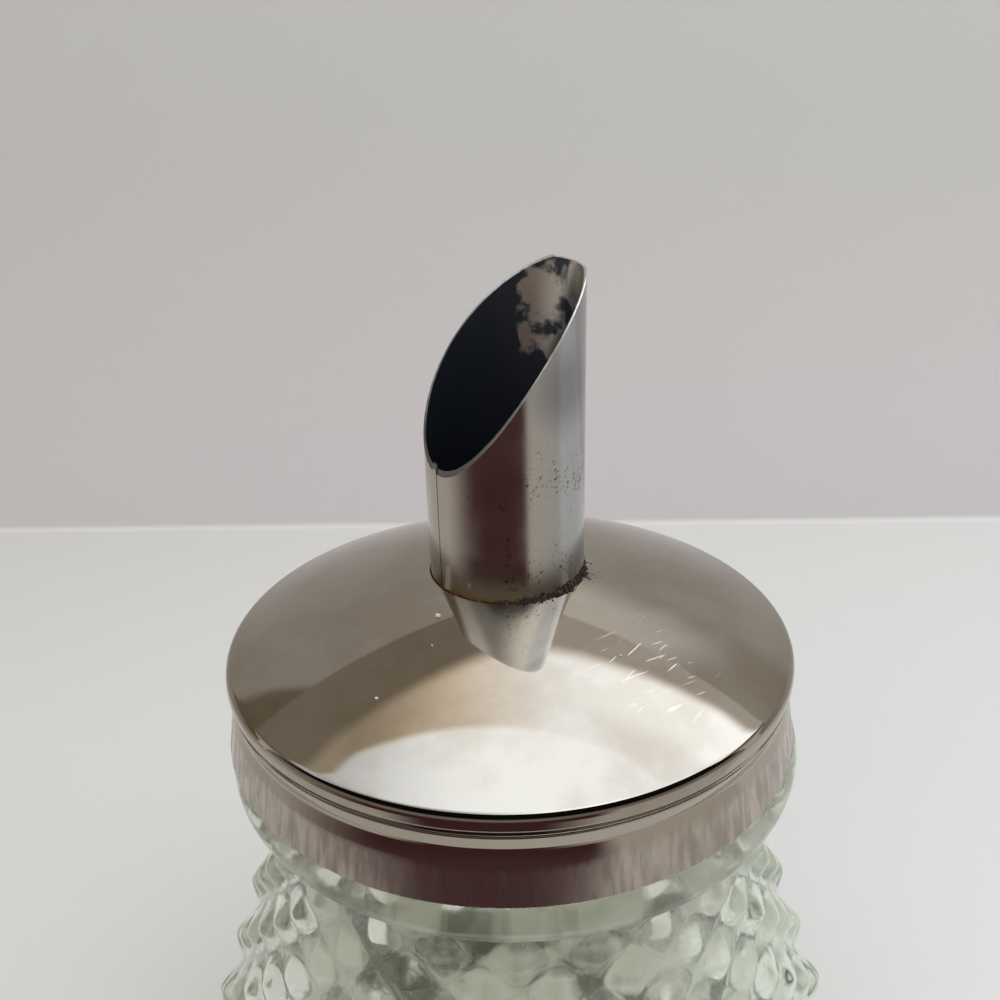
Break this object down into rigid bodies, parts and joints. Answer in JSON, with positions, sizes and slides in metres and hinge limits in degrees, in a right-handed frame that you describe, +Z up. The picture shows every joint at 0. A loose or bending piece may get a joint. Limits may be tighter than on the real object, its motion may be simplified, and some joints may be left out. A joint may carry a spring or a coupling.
{
  "type": "sugar dispenser",
  "caption": "Pressed glass sugar dispenser with diamond relief, domed steel screw-on lid and a steel pouring spout with a slanted scoop cut.",
  "frame": {"origin": "centre of the base, on the surface that the jar stands on", "axes": "+Z up along the jar's axis; the spout's scoop is lowest towards -X -Y and its tip is towards +X"},
  "size_m": [0.0936, 0.0936, 0.1408],
  "materials": {
    "soda_lime_glass": "pressed clear glass with a faint green tint",
    "bright_steel": "bright plated steel sheet, slightly tarnished, with fine scratches",
    "worn_steel": "bright plated steel tube, pitted, with rust at its foot"
  },
  "bodies": {
    "root": {"jar": "soda_lime_glass", "lid": "bright_steel", "spout": "worn_steel"}
  },
  "joints": []
}
